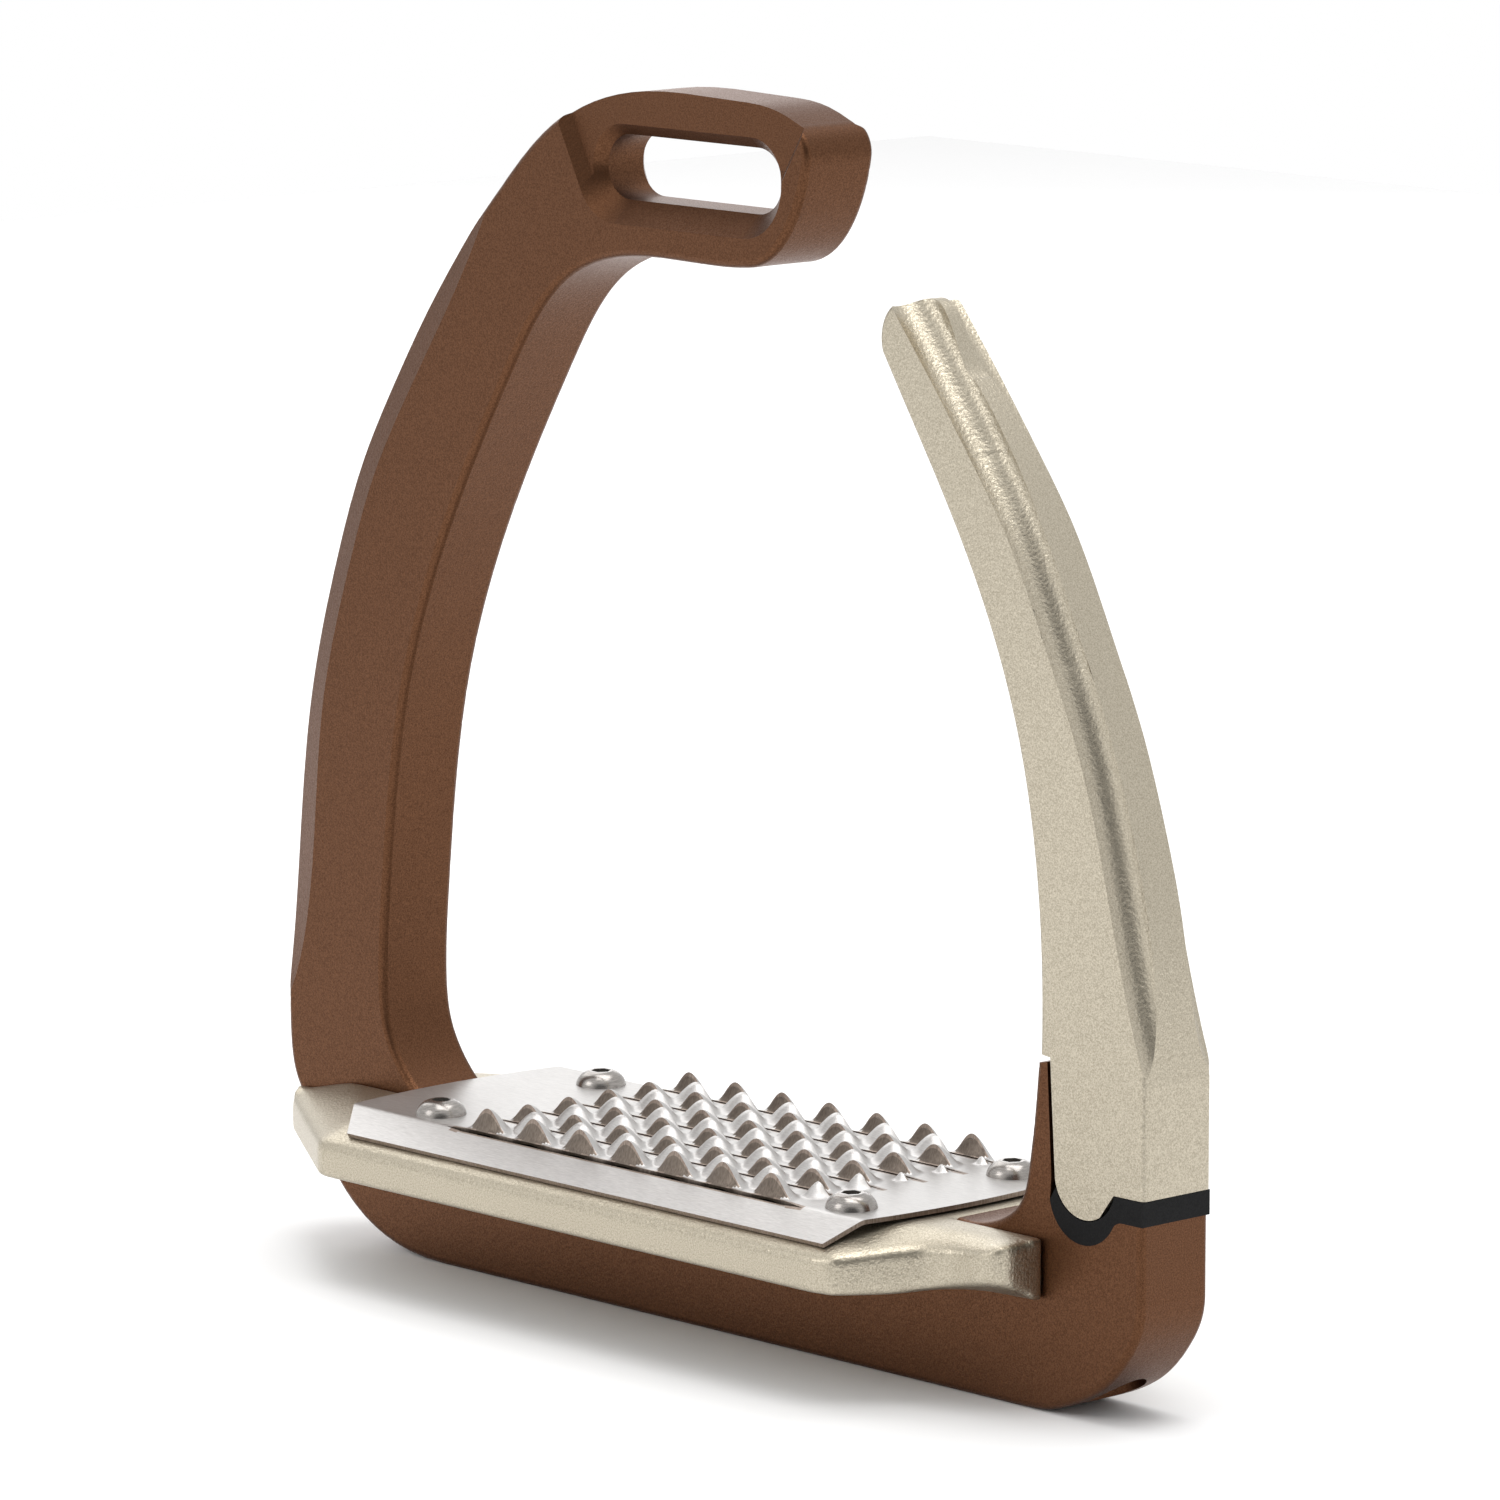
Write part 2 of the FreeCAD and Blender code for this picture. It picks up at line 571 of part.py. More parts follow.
def make_grip_plate():
    """Bent sheet with rows of pressed teeth, each one a half cone beside its slit."""
    half = size("plate_half_wide")
    low = size("tread_top") + size("underlay_thick")
    top = low + size("plate_thick")
    body = make_blank(half, low, top)
    far_y = half + size("flange_out") + size("plate_thick")
    for end, sign, edge_x in (("left", -1, PLATE_LEFT), ("right", 1, PLATE_RIGHT)):
        trim = new_sketch(body, end + "_end_trim", "XY_Plane", top)
        far_x = edge_x + sign * PLATE_BOW * 2
        mitre_x = edge_x - sign * PLATE_MITRE
        draw_outline(trim, (far_x, -far_y), [
            ("line", (mitre_x, -far_y)), ("line", (edge_x, -half)),
            ("arc", (edge_x + sign * PLATE_BOW, 0), (edge_x, half)),
            ("line", (mitre_x, far_y)), ("line", (far_x, far_y))])
        pocket(body, trim, end + "_end_trim_pocket", "Sizes.drill_deep")
    holes = new_sketch(body, "screw_holes", "XY_Plane", top)
    for place in screw_places():
        draw_circle(holes, place, "shank_wide", 1.1)
    pocket(body, holes, "screw_hole_pocket", "Sizes.drill_deep")
    teeth = []
    slits = []
    for row in range(TOOTH_ROWS):
        y = FIRST_ROW_Y + row * size("row_pitch")
        if row > 0:
            slit_long = (TEETH - 1) * size("tooth_pitch") + 2 * SLIT_PAST
            corner = Vector(FIRST_TOOTH_X - SLIT_PAST, y - (LIP_GAP + SLIT_WIDE) / 2, low)
            slits.append(Part.makeBox(slit_long, SLIT_WIDE, top - low, corner))
        for count in range(TEETH):
            x = FIRST_TOOTH_X + count * size("tooth_pitch")
            if too_near_screw(x, y):
                continue
            foot = FOLD_FOOT if row == TOOTH_ROWS - 1 else TOOTH_FOOT
            teeth.append(half_cone(x, y, top, 1, foot))
            if row > 0 and count < TEETH - 1:
                teeth.append(half_cone(x + size("tooth_pitch") / 2, y - LIP_GAP, top, -1, TOOTH_FOOT))
    shape = body.Shape.cut(Part.makeCompound(slits)).multiFuse(teeth).removeSplitter()
    plate = doc.addObject("Part::Feature", "grip_plate")
    plate.Label = "grip_plate"
    plate.Shape = shape
    return plate


def too_near_screw(x, y):
    clear = (size("head_wide") + size("tooth_wide")) / 2
    return any(math.hypot(x - place[0], y - place[1]) < clear for place in screw_places())


def half_cone(x, y, top, side, foot):
    """Half of a blunt cone that leans on a slit; side says which way its round back faces."""
    radius = size("tooth_wide") / 2
    turn = 0 if side > 0 else 180
    middle = Vector(0, 0, 0)
    up = Vector(0, 0, 1)
    cone = Part.makeCone(radius, TOOTH_TIP, size("tooth_high") + foot, middle, up, 180)
    cone.rotate(middle, up, turn)
    squash = FreeCAD.Matrix()
    squash.scale(1.0, TOOTH_SQUASH, 1.0)
    cone = cone.transformGeometry(squash)
    cone.translate(Vector(x, y, top - foot))
    return cone


# ---------------------------------------------------------------------------- fasteners

def turned(label, rings, place):
    """Solid of revolution about a vertical axis from (radius, height) pairs."""
    body = new_body(label)
    turn_section(body, label, rings[0], [("line", ring) for ring in rings[1:]])
    body.Placement = FreeCAD.Placement(Vector(*place), FreeCAD.Rotation())
    return body


def hexagon(sketch, alias):
    """Hexagon whose width across flats is a cell of the sheet."""
    radius = size(alias) / math.sqrt(3)
    draw_polygon(sketch, [on_circle((0, 0), radius, 60 * count) for count in range(6)])


def group(label, single, places):
    """One node that holds a separate copy of a solid at each place."""
    copies = []
    for place in places:
        copy = single.Shape.copy()
        copy.Placement = FreeCAD.Placement(Vector(*place), FreeCAD.Rotation())
        copies.append(copy)
    node = doc.addObject("Part::Feature", label)
    node.Label = label
    node.Shape = Part.makeCompound(copies)
    return node


SHANK_GAP = 0.05        # between a screw and its hole
SHANK_END_GAP = 0.3
SOCKET_DEEP = 0.6       # of the head's height


def make_plate_screws():
    single = new_body("plate_screw_pattern")
    head = size("head_wide") / 2
    high = size("head_high")
    shank = size("shank_wide") / 2 - SHANK_GAP
    tip = SHANK_END_GAP - size("shank_long")
    turn_section(single, "plate_screw", (0, tip), [
        ("line", (shank, tip)), ("line", (shank, 0)), ("line", (head, 0)),
        ("arc", (head * 0.84, high * 0.62), (head * 0.48, high)), ("line", (0, high))])
    socket = new_sketch(single, "plate_screw_socket", "XY_Plane", high)
    hexagon(socket, "socket_wide")
    pocket(single, socket, "plate_screw_socket_pocket", "Sizes.head_high * %g" % SOCKET_DEEP)
    top = size("tread_top") + size("underlay_thick") + size("plate_thick")
    return group("grip_plate_screws", single, [(x, y, top) for x, y in screw_places()])


BOLT_GAP = 0.1          # between a tread bolt and its hole


def make_tread_bolts():
    single = new_body("tread_bolt_pattern")
    head = size("bolt_head") / 2 - BOLT_GAP
    shank = size("bolt_wide") / 2 - BOLT_GAP
    seat = -size("bolt_head_high")
    tip = seat - size("bolt_long")
    edge = 0.3
    turn_section(single, "tread_bolt", (0, tip), [
        ("line", (shank, tip)), ("line", (shank, seat)), ("line", (head, seat)),
        ("line", (head, -edge)), ("line", (head - edge, 0)), ("line", (0, 0))])
    socket = new_sketch(single, "tread_bolt_socket", "XY_Plane")
    hexagon(socket, "bolt_socket")
    pocket(single, socket, "tread_bolt_socket_pocket", "Sizes.bolt_head_high * %g" % SOCKET_DEEP)
    return group("tread_bolts", single, bolt_places(size("tread_top")))


def make_inserts():
    outer = size("insert_wide") / 2
    inner = size("bolt_wide") / 2
    long = size("insert_long")
    single = turned("insert_pattern", [(inner, -long), (outer, -long), (outer, 0), (inner, 0)], (0, 0, 0))
    return group("tread_bolt_inserts", single, bolt_places(size("base_top")))


# ---------------------------------------------------------------------------- tension wire

WASHER_THICK = 0.8
NUT_HIGH = 2.6
LOCK_NUT_HIGH = 1.8
STUD_ROUND = 1.5        # radius
STUD_BOTTOM = 4.8
SPRING_GAP = 0.4        # between the spring and its bore
WASHER_ROUND = 3.3
FERRULE_ROUND = 1.9
FERRULE_HIGH = 2.6
PLUG_BOTTOM = 27.0
BUSH_BOTTOM = 16.0
SMALL_GAP = 0.1


def make_wire():
    body = new_body("tension_wire")
    sketch = new_sketch(body, "wire_section", "XY_Plane", size("anchor_top"))
    draw_circle(sketch, (WIRE_X, 0), "wire_wide")
    pad(body, sketch, "wire_pad", "Sizes.cup_bottom + Sizes.cup_high - Sizes.anchor_top")
    return body


def make_stud():
    top = size("anchor_top")
    outline = [(0, STUD_BOTTOM), (STUD_ROUND, STUD_BOTTOM), (STUD_ROUND, top), (0, top)]
    return turned("wire_stud", outline, (WIRE_X, 0, 0))


def ring(label, inner, outer, low, high):
    return turned(label, [(inner, low), (outer, low), (outer, high), (inner, high)], (WIRE_X, 0, 0))


def hex_nut(label, low, high):
    body = new_body(label)
    sketch = new_sketch(body, label + "_section", "XY_Plane", low)
    hexagon(sketch, "nut_flats")
    sketch.addGeometry(Part.Circle(Vector(0, 0, 0), Vector(0, 0, 1), STUD_ROUND), False)
    pad(body, sketch, label + "_pad", "%g" % (high - low))
    body.Placement = FreeCAD.Placement(Vector(WIRE_X, 0, 0), FreeCAD.Rotation())
    return body


def make_spring():
    """Compression spring round the wire, between the arm's plug and the cup."""
    wire = size("spring_wire") / 2
    low = size("plug_top") + wire
    high = size("cup_bottom") - wire
    mean = size("arm_bore") / 2 - SPRING_GAP - wire
    path = Part.makeHelix((high - low) / size("spring_turns"), high - low, mean)
    circle = Part.Wire([Part.makeCircle(wire, Vector(mean, 0, 0), Vector(0, 1, 0))])
    coil = Part.Wire(path.Edges).makePipeShell([circle], True, True)
    spring = doc.addObject("Part::Feature", "tension_spring")
    spring.Label = "tension_spring"
    spring.Shape = coil
    spring.Placement = FreeCAD.Placement(Vector(WIRE_X, 0, low), FreeCAD.Rotation())
    return spring


def make_all():
    wire = size("wire_wide") / 2
    anchor_top = size("anchor_top")
    nut_top = anchor_top - WASHER_THICK
    lock_top = nut_top - NUT_HIGH
    cradle_bottom = CRADLE[1] - CRADLE_ROUND
    cup_low = size("cup_bottom")
    cup_high = cup_low + size("cup_high")
    bore = size("arm_bore") / 2
    hole = size("guide_hole") / 2
    ferrule_top = cup_high + FERRULE_HIGH
    edge = 0.6
    ferrule = [(0, cup_high), (FERRULE_ROUND, cup_high), (FERRULE_ROUND, ferrule_top - edge),
               (FERRULE_ROUND - edge, ferrule_top), (0, ferrule_top)]
    return [
        make_frame(),
        make_release_arm(),
        make_seat_pad(),
        make_tread(),
        make_underlay(),
        make_grip_plate(),
        make_plate_screws(),
        make_tread_bolts(),
        make_inserts(),
        make_wire(),
        make_stud(),
        make_spring(),
        ring("anchor_washer", STUD_ROUND + SMALL_GAP, WASHER_ROUND, nut_top, anchor_top),
        hex_nut("tension_nut", lock_top, nut_top),
        hex_nut("lock_nut", lock_top - LOCK_NUT_HIGH, lock_top),
        ring("wire_guide_bush", hole, size("guide_wide") / 2, BUSH_BOTTOM, cradle_bottom - 2 * SMALL_GAP),
        ring("arm_plug", hole, bore, PLUG_BOTTOM, size("plug_top")),
        ring("spring_cup", wire + SMALL_GAP, bore - 3 * SMALL_GAP, cup_low, cup_high),
        turned("wire_ferrule", ferrule, (WIRE_X, 0, 0)),
    ]


parts = make_all()
doc.recompute()
for item in doc.Objects:
    if "Invalid" in item.State or "Error" in item.State:
        raise RuntimeError("%s failed: %s" % (item.Label, item.State))

os.makedirs("parts", exist_ok=True)
for part in parts:
    if part.Shape.isNull() or not part.Shape.isValid():
        raise RuntimeError("%s has no valid shape" % part.Label)
    part.Shape.exportStep("parts/%s.step" % part.Label)
    print("%-20s %9.1f mm3  %d solid" % (part.Label, part.Shape.Volume, len(part.Shape.Solids)))
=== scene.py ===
import math

import bmesh
import bpy
import numpy as np
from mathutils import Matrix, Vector


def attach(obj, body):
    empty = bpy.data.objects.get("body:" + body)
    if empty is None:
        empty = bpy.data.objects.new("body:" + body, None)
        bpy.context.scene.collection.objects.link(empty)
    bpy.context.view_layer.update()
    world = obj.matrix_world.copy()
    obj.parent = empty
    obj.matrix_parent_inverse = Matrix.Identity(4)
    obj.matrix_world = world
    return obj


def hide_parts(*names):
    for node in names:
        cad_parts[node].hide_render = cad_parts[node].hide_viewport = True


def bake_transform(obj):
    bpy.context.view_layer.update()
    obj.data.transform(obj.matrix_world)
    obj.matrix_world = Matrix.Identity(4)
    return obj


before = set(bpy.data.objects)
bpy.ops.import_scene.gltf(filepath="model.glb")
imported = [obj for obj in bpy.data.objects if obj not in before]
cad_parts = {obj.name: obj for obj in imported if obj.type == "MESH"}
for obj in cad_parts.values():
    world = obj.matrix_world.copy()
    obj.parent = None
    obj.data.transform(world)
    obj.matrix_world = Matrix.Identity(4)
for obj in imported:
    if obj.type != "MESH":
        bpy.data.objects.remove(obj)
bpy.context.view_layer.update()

MM = 0.001


# ---------------------------------------------------------------------------- camera, floor and lights

AZIMUTH = math.radians(47.037)
ELEVATION = math.radians(9.507)
CAMERA_AT = (0.84262, -0.78114, 0.26723)
LENS = 218.31
FLOOR_HALF = 1.1        # small enough for the white sky to show above its far edge
SKY_LIGHT = 0.92        # what the object and the floor get
SKY_SEEN = 1.0          # what the camera sees
ROOM = (0.71, -0.68, 0.12)      # the unlit part of the studio lies this way
ROOM_LIGHT = 0.10
ROOM_EDGE = (0.72, 0.95)        # cosines where it starts and where it is fully dark


def make_camera():
    data = bpy.data.cameras.new("camera")
    data.lens = LENS
    data.sensor_width = 36
    data.clip_end = 20
    camera = bpy.data.objects.new("camera", data)
    camera.location = CAMERA_AT
    camera.rotation_euler = (math.pi / 2 - ELEVATION, 0, AZIMUTH)
    bpy.context.scene.collection.objects.link(camera)
    bpy.context.scene.camera = camera


def area_light(name, place, target, wide, high, power):
    data = bpy.data.lights.new(name, "AREA")
    data.shape = "RECTANGLE"
    data.size = wide
    data.size_y = high
    data.energy = power
    light = bpy.data.objects.new(name, data)
    light.location = place
    light.rotation_euler = (Vector(target) - Vector(place)).to_track_quat("-Z", "Y").to_euler()
    bpy.context.scene.collection.objects.link(light)


def make_floor():
    half = FLOOR_HALF
    corners = [(-half, -half, 0), (half, -half, 0), (half, half, 0), (-half, half, 0)]
    mesh = bpy.data.meshes.new("floor")
    mesh.from_pydata(corners, [], [(0, 1, 2, 3)])
    floor = bpy.data.objects.new("floor", mesh)
    bpy.context.scene.collection.objects.link(floor)
    paper = bpy.data.materials.new("paper")
    paper.use_nodes = True
    shader = paper.node_tree.nodes["Principled BSDF"]
    shader.inputs["Base Color"].default_value = (0.93, 0.93, 0.93, 1)
    shader.inputs["Roughness"].default_value = 0.9
    mesh.materials.append(paper)


def make_sky():
    """White all round, with one dark direction that gives the metal something to reflect."""
    world = bpy.data.worlds.new("studio")
    world.use_nodes = True
    tree = world.node_tree
    sky = tree.nodes["Background"]
    sky.inputs["Color"].default_value = (1, 1, 1, 1)
    seen = tree.nodes.new("ShaderNodeLightPath").outputs["Is Camera Ray"]
    toward = tree.nodes.new("ShaderNodeVectorMath")
    toward.operation = "DOT_PRODUCT"
    toward.inputs[1].default_value = ROOM
    tree.links.new(tree.nodes.new("ShaderNodeTexCoord").outputs["Generated"], toward.inputs[0])
    room = tree.nodes.new("ShaderNodeMapRange")
    room.interpolation_type = "SMOOTHSTEP"
    set_range(room, *ROOM_EDGE, SKY_LIGHT, ROOM_LIGHT)
    tree.links.new(toward.outputs["Value"], room.inputs["Value"])
    strength = tree.nodes.new("ShaderNodeMapRange")
    strength.inputs["To Max"].default_value = SKY_SEEN
    tree.links.new(seen, strength.inputs["Value"])
    tree.links.new(room.outputs["Result"], strength.inputs["To Min"])
    tree.links.new(strength.outputs["Result"], sky.inputs["Strength"])
    bpy.context.scene.world = world
    bpy.context.scene.view_settings.view_transform = "Standard"


def set_range(node, low, high, to_low, to_high):
    """Fills in a Map Range node."""
    for key, value in (("From Min", low), ("From Max", high), ("To Min", to_low), ("To Max", to_high)):
        node.inputs[key].default_value = value


make_camera()
make_floor()
make_sky()
area_light("top", (0.1, 0.1, 1.3), (0, 0, 0.05), 1.0, 1.0, 9)
area_light("key", (-0.45, -1.1, 0.75), (0, 0, 0.07), 0.6, 0.6, 2.5)
area_light("left", (-0.95, 0.37, 0.85), (0, 0, 0.03), 0.8, 0.8, 2.6)
area_light("low", (-0.95, 0.95, 0.3), (0, 0, 0.03), 0.7, 0.3, 0.7)


# ---------------------------------------------------------------------------- materials

class Nodes:
    """Small helper that builds one material's node tree."""

    def __init__(self, name):
        self.material = bpy.data.materials.new(name)
        self.material.use_nodes = True
        self.tree = self.material.node_tree
        self.shader = self.tree.nodes["Principled BSDF"]
        self.place = self.add("ShaderNodeTexCoord").outputs["Object"]

    def add(self, kind, **values):
        node = self.tree.nodes.new(kind)
        for key, value in values.items():
            setattr(node, key, value)
        return node

    def link(self, source, target):
        self.tree.links.new(source, target)

    def set(self, **values):
        for key, value in values.items():
            self.shader.inputs[key.replace("_", " ")].default_value = value

    def wire(self, **sources):
        for key, source in sources.items():
            self.link(source, self.shader.inputs[key.replace("_", " ")])

    def stretched(self, x, y, z):
        """Object coordinates scaled along each axis, for brushed and drawn grain."""
        node = self.add("ShaderNodeMapping")
        node.inputs["Scale"].default_value = (x, y, z)
        self.link(self.place, node.inputs["Vector"])
        return node.outputs["Vector"]

    def noise(self, scale, detail=2.0, rough=0.5, place=None):
        node = self.add("ShaderNodeTexNoise")
        node.inputs["Scale"].default_value = scale
        node.inputs["Detail"].default_value = detail
        node.inputs["Roughness"].default_value = rough
        self.link(place or self.place, node.inputs["Vector"])
        return node.outputs["Fac"]

    def ramp(self, source, stops):
        node = self.add("ShaderNodeValToRGB")
        ramp = node.color_ramp
        ramp.elements[0].position, ramp.elements[0].color = stops[0]
        ramp.elements[1].position, ramp.elements[1].color = stops[-1]
        for at, colour in stops[1:-1]:
            ramp.elements.new(at).color = colour
        self.link(source, node.inputs["Fac"])
        return node.outputs["Color"]

    def span(self, source, low, high, to_low, to_high):
        node = self.add("ShaderNodeMapRange")
        set_range(node, low, high, to_low, to_high)
        self.link(source, node.inputs["Value"])
        return node.outputs["Result"]

    def mix(self, kind, factor, first, second):
        node = self.add("ShaderNodeMix", data_type="RGBA", blend_type=kind)
        if isinstance(factor, float):
            node.inputs[0].default_value = factor
        else:
            self.link(factor, node.inputs[0])
        for socket, value in ((node.inputs[6], first), (node.inputs[7], second)):
            if isinstance(value, tuple):
                socket.default_value = value
            else:
                self.link(value, socket)
        return node.outputs[2]

    def bump(self, source, strength, distance, below=None):
        node = self.add("ShaderNodeBump")
        node.inputs["Strength"].default_value = strength
        node.inputs["Distance"].default_value = distance
        self.link(source, node.inputs["Height"])
        if below:
            self.link(below, node.inputs["Normal"])
        return node.outputs["Normal"]

    def facing(self, blend):
        node = self.add("ShaderNodeLayerWeight")
        node.inputs["Blend"].default_value = blend
        return node.outputs["Facing"]


def grey(value):
    return (value, value, value, 1)


def anodised(name, dark, light, edge, rough, grain, cloudy, pebble):
    """Bead-blasted and anodised aluminium: fine sparkling grain over faint broad clouds, and a painted
    sheen that turns it towards the edge colour where it is seen at a grazing angle.
    """
    n = Nodes(name)
    grains = n.noise(grain, 2.0, 0.6)
    clouds = n.noise(34, 3.0, 0.55)
    colour = n.ramp(grains, [(0.34, dark), (0.66, light)])
    colour = n.mix("MULTIPLY", cloudy, colour, n.ramp(clouds, [(0.3, grey(0.78)), (0.7, grey(1.0))]))
    # painted sheen: where the surface is seen at a grazing angle its colour turns towards the edge colour
    colour = n.mix("MIX", n.span(n.facing(0.35), 0.45, 1.0, 0.0, 0.55), colour, edge)
    sparkle = n.span(grains, 0.36, 0.66, rough + 0.09, rough - 0.09)
    n.wire(Base_Color=colour, Roughness=sparkle,
           Normal=n.bump(grains, 0.3, 0.00005, n.bump(n.noise(grain * 0.42, 1.0), pebble, 0.00012)))
    n.set(Metallic=1.0)
    return n.material


def steel(name, dark, light, rough, stretch, grain=900.0, dull=0.1):
    """Rolled, drawn or turned steel with fine lines along one direction and faint smears."""
    n = Nodes(name)
    lines = n.noise(grain, 3.0, 0.6, n.stretched(*stretch))
    smears = n.noise(60, 3.0)
    colour = n.mix("MULTIPLY", 0.25, n.ramp(lines, [(0.3, dark), (0.7, light)]),
                   n.ramp(smears, [(0.3, grey(0.75)), (0.7, grey(1.0))]))
    n.wire(Base_Color=colour, Roughness=n.span(smears, 0.3, 0.7, rough - dull, rough + dull),
           Normal=n.bump(lines, 0.12, 0.00004))
    n.set(Metallic=0.88)
    return n.material


def rubber(name, colour, rough, grain):
    """Matt moulded polymer with a fine eroded texture."""
    n = Nodes(name)
    grains = n.noise(grain, 3.0, 0.6)
    lighter = tuple(channel * 1.8 for channel in colour[:3]) + (1,)
    n.wire(Base_Color=n.ramp(grains, [(0.35, colour), (0.75, lighter)]),
           Roughness=n.span(grains, 0.3, 0.7, rough + 0.1, rough - 0.1),
           Normal=n.bump(grains, 0.3, 0.00006))
    n.set(Specular_IOR_Level=0.16)
    return n.material


# the third colour of each is its painted sheen at grazing angles
BROWN = anodised("brown_anodised", (0.098, 0.043, 0.021, 1), (0.158, 0.073, 0.038, 1),
                 (0.20, 0.115, 0.085, 1), 0.42, 5200, 0.25, 0.25)
CHAMPAGNE = anodised("champagne_anodised", (0.40, 0.355, 0.275, 1), (0.58, 0.525, 0.42, 1),
                     (0.50, 0.45, 0.38, 1), 0.38, 5200, 0.10, 0.6)
LINED = (1.0, 14.0, 14.0)       # lines along X
TORN = (9.0, 9.0, 1.0)          # lines up and down
ROUND = (1.0, 1.0, 12.0)
LOOKS = {
    "frame": BROWN,
    "release_arm": CHAMPAGNE,
    "arm_seat_pad": rubber("black_polymer", (0.0022, 0.0022, 0.0026, 1), 0.55, 5200),
    "grip_underlay": rubber("black_underlay", (0.004, 0.004, 0.005, 1), 0.7, 2600),
    "grip_plate_screws": steel("polished_steel", (0.28, 0.26, 0.245, 1), (0.42, 0.395, 0.37, 1),
                               0.24, ROUND, 900, 0.04),
    "tread_bolts": steel("bolt_steel", (0.30, 0.29, 0.28, 1), (0.45, 0.44, 0.43, 1), 0.32, ROUND),
    "wire_guide_bush": steel("bush_brass", (0.55, 0.36, 0.13, 1), (0.72, 0.50, 0.22, 1), 0.28, ROUND),
}
PLAIN_STEEL = steel("plain_steel", (0.38, 0.37, 0.36, 1), (0.56, 0.55, 0.54, 1), 0.3, ROUND)
WIRE_STEEL = steel("wire_steel", (0.34, 0.34, 0.34, 1), (0.60, 0.60, 0.60, 1), 0.3, (3.0, 3.0, 1.0), 1600)
SPRING_STEEL = steel("spring_steel", (0.22, 0.21, 0.20, 1), (0.38, 0.37, 0.36, 1),
                     0.3, (2.0, 2.0, 2.0), 1500)
SHEET = steel("grip_steel", (0.47, 0.455, 0.445, 1), (0.62, 0.605, 0.59, 1), 0.40, LINED, 700, 0.04)
# painted shade: the dark brown that the teeth's steep sides get, since they face the camera and stand
# behind other teeth; its up-and-down lines are the pressed metal's own
SHEET_PAINTED_SHADE = steel("grip_steel_painted_shade", (0.13, 0.103, 0.085, 1), (0.235, 0.195, 0.16, 1),
                   0.5, TORN, 500)
# the sheet's cut edges, and also a painted highlight just below the teeth's ridges
SHEET_CUT_AND_HIGHLIGHT = steel("grip_steel_cut_edge_and_highlight", (0.20, 0.15, 0.12, 1), (0.40, 0.33, 0.28, 1), 0.42, TORN, 500)

for name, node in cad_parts.items():
    node.data.materials.clear()
    node.data.materials.append(LOOKS.get(name, PLAIN_STEEL))


# ---------------------------------------------------------------------------- mesh helpers

def new_piece(name, vertices, faces, body, materials):
    """Mesh piece from millimetres that rides on a body, when one is given."""
    mesh = bpy.data.meshes.new(name)
    corners = [tuple(int(index) for index in face) for face in faces]
    mesh.from_pydata((np.asarray(vertices) * MM).tolist(), [], corners)
    mesh.update()
    piece = bpy.data.objects.new(name, mesh)
    bpy.context.scene.collection.objects.link(piece)
    for material in materials:
        mesh.materials.append(material)
    if body:
        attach(piece, body)
    return piece


def settle(piece, angle=None):
    """Puts the result of the modifiers into the mesh and shades it smooth up to the angle."""
    evaluated = piece.evaluated_get(bpy.context.evaluated_depsgraph_get())
    mesh = bpy.data.meshes.new_from_object(evaluated)
    piece.modifiers.clear()
    piece.data = mesh
    mesh.shade_smooth()
    if angle:
        mesh.set_sharp_from_angle(angle=math.radians(angle))


def weld(mesh, distance):
    bm = bmesh.new()
    bm.from_mesh(mesh)
    bmesh.ops.remove_doubles(bm, verts=bm.verts, dist=distance)
    bm.to_mesh(mesh)
    bm.free()


def grid_faces(rows, columns, start):
    """Quads of a grid whose vertices run along the columns first."""
    corner = np.arange(rows - 1)[:, None] * columns + np.arange(columns - 1)[None, :] + start
    corner = corner.ravel()
    return np.stack([corner, corner + 1, corner + columns + 1, corner + columns], axis=1)


# ---------------------------------------------------------------------------- toothed grip plate
# From here on sizes and places are in millimetres.

PLATE_TOP = 23.1
PLATE_THICK = 0.6
FOLD_Y = 18.2
FLANGE_Y = 23.37
FLANGE_SLOPE = 2.56 / 5.17
FOLD_SOFT = 0.15
PLATE_ENDS = (-53.2, 44.0)      # at the folds
PLATE_BOW = 1.6                 # how far the ends bulge between the folds
MITRES = (4.6, 1.9)             # how far the flanges' ends are cut back
FIRST_SLIT = -18.44
ROW_PITCH = 7.12
SLITS = [FIRST_SLIT + ROW_PITCH * row for row in range(6)]
SLIT_ENDS = (-34.4, 33.4)
SLIT_GAP = 0.28         # half of a slit's width
SLIT_POINT = 3.5        # how long a slit's pointed end is
CUT_EDGE = 0.3          # of the sheet along a slit, given the brown cut-edge colour
LIP_LIFT = 0.15         # of the sheet's edge between the teeth
LIP_FADE = 0.9          # how fast that lift dies away from the slit
STEEP = 0.8             # the upward part of a face's normal, below which a tooth's face gets the painted shade
RAISED = 0.5            # height above the sheet at which it is one too
TOOTH_HALF = 3.75       # across the row
TOOTH_FACE = 1.0        # from the slit to the tooth's ridge: the steep hollow side
TOOTH_HOLLOW = 1.7      # above 1 the steep side is hollow
TOOTH_TAIL = 3.5        # from the ridge away from the slit
TOOTH_POWER = 0.85      # below 1 is blunter than a cosine
FACE_LINES = (0, 0.2, 0.45, 0.7, 0.88, 1.0, 1.12)   # of the mesh beside a slit
MESH_STEP = 0.22        # between its lines elsewhere
DOMES_X = [-27.675 + 9.0 * count for count in range(7)]
LIPS_X = [-23.5 + 9.0 * count for count in range(6)]


def back_teeth(row):
    """Teeth behind a slit: place along the row, height, half width."""
    high = 3.0 if row in (0, 5) else 2.55
    teeth = [(x, high, TOOTH_HALF) for x in DOMES_X]
    if row == 5:
        teeth[-1] = (DOMES_X[-1] - 0.4, high, TOOTH_HALF)
    return teeth


